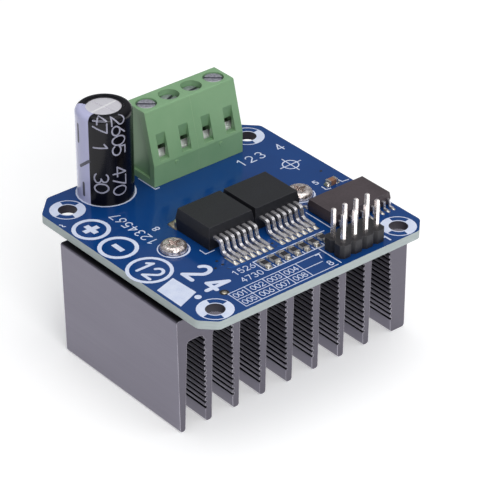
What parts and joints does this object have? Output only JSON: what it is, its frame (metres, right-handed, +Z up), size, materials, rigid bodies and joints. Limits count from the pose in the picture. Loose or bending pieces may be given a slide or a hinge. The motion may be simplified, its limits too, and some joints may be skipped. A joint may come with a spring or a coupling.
{
  "type": "dc motor driver module",
  "caption": "DC motor driver module: blue circuit board with power driver chips, capacitor, screw terminal and pin header on a finned black heatsink.",
  "frame": {"origin": "middle of the object's outline in plan, at the level of the heatsink's fin tips", "axes": "+X along the header edge of the board, +Y from the header edge to the screw terminal edge and along the fins, +Z up from the fin tips through the board"},
  "size_m": [0.052, 0.0502, 0.0422],
  "materials": {
    "heatsink_black": "black anodised extrusion",
    "thermal_pad": "matt silicone sheet",
    "board_blue": "glass epoxy with blue solder mask",
    "screw_nickel": "nickel plated steel",
    "terminal_green": "moulded, satin",
    "terminal_screw_zinc": "zinc plated steel",
    "clamp_nickel": "nickel plated steel",
    "contact_tin": "tin plated brass",
    "capacitor_sleeve": "printed shrink film",
    "capacitor_aluminium": "drawn aluminium",
    "capacitor_seal": "moulded rubber",
    "capacitor_foil": "wound foil and paper",
    "lead_tin": "tin plated copper alloy",
    "chip_black": "moulded epoxy",
    "tab_tin": "tin plated copper",
    "header_black": "moulded",
    "pin_plated": "plated brass",
    "resistor_black": "glazed ceramic",
    "ceramic_brown": "fired ceramic",
    "solder": "reflowed solder"
  },
  "bodies": {
    "board_assembly": {"heatsink": "heatsink_black", "thermal_pad": "thermal_pad", "circuit_board": "board_blue", "heatsink_screws": "screw_nickel", "terminal_housing_left": "terminal_green", "terminal_housing_right": "terminal_green", "terminal_contacts": "contact_tin", "capacitor_can": "capacitor_aluminium", "capacitor_sleeve": "capacitor_sleeve", "capacitor_seal": "capacitor_seal", "capacitor_winding": "capacitor_foil", "capacitor_leads": "lead_tin", "driver_body_left": "chip_black", "driver_tab_left": "tab_tin", "driver_leads_left": "lead_tin", "driver_body_right": "chip_black", "driver_tab_right": "tab_tin", "driver_leads_right": "lead_tin", "buffer_body": "chip_black", "buffer_leads": "lead_tin", "header_base": "header_black", "header_pins": "pin_plated", "resistor_bodies": "resistor_black", "resistor_ends": "solder", "ceramic_capacitor_body": "ceramic_brown", "ceramic_capacitor_ends": "solder", "solder_joints": "solder"},
    "screw_1": {"terminal_screw_1": "terminal_screw_zinc"},
    "clamp_1": {"terminal_clamp_1": "clamp_nickel"},
    "screw_2": {"terminal_screw_2": "terminal_screw_zinc"},
    "clamp_2": {"terminal_clamp_2": "clamp_nickel"},
    "screw_3": {"terminal_screw_3": "terminal_screw_zinc"},
    "clamp_3": {"terminal_clamp_3": "clamp_nickel"},
    "screw_4": {"terminal_screw_4": "terminal_screw_zinc"},
    "clamp_4": {"terminal_clamp_4": "clamp_nickel"}
  },
  "joints": [
    {"name": "screw_1_turn", "type": "hinge", "parent": "board_assembly", "child": "screw_1", "pos_m": [-0.00155, 0.0209, 0.0368], "axis": [0, 0, -1], "range_deg": [0, 1440]},
    {"name": "clamp_1_rise", "type": "slide", "parent": "board_assembly", "child": "clamp_1", "axis": [0, 0, 1], "range_m": [0, 0.002]},
    {"name": "screw_2_turn", "type": "hinge", "parent": "board_assembly", "child": "screw_2", "pos_m": [0.00353, 0.0209, 0.0368], "axis": [0, 0, -1], "range_deg": [0, 1440]},
    {"name": "clamp_2_rise", "type": "slide", "parent": "board_assembly", "child": "clamp_2", "axis": [0, 0, 1], "range_m": [0, 0.002]},
    {"name": "screw_3_turn", "type": "hinge", "parent": "board_assembly", "child": "screw_3", "pos_m": [0.00861, 0.0209, 0.0368], "axis": [0, 0, -1], "range_deg": [0, 1440]},
    {"name": "clamp_3_rise", "type": "slide", "parent": "board_assembly", "child": "clamp_3", "axis": [0, 0, 1], "range_m": [0, 0.002]},
    {"name": "screw_4_turn", "type": "hinge", "parent": "board_assembly", "child": "screw_4", "pos_m": [0.01369, 0.0209, 0.0368], "axis": [0, 0, -1], "range_deg": [0, 1440]},
    {"name": "clamp_4_rise", "type": "slide", "parent": "board_assembly", "child": "clamp_4", "axis": [0, 0, 1], "range_m": [0, 0.002]}
  ],
  "couplings": [
    {"joint": "screw_1_turn", "follows": "clamp_1_rise", "rad_per_m": 12566},
    {"joint": "screw_2_turn", "follows": "clamp_2_rise", "rad_per_m": 12566},
    {"joint": "screw_3_turn", "follows": "clamp_3_rise", "rad_per_m": 12566},
    {"joint": "screw_4_turn", "follows": "clamp_4_rise", "rad_per_m": 12566}
  ]
}
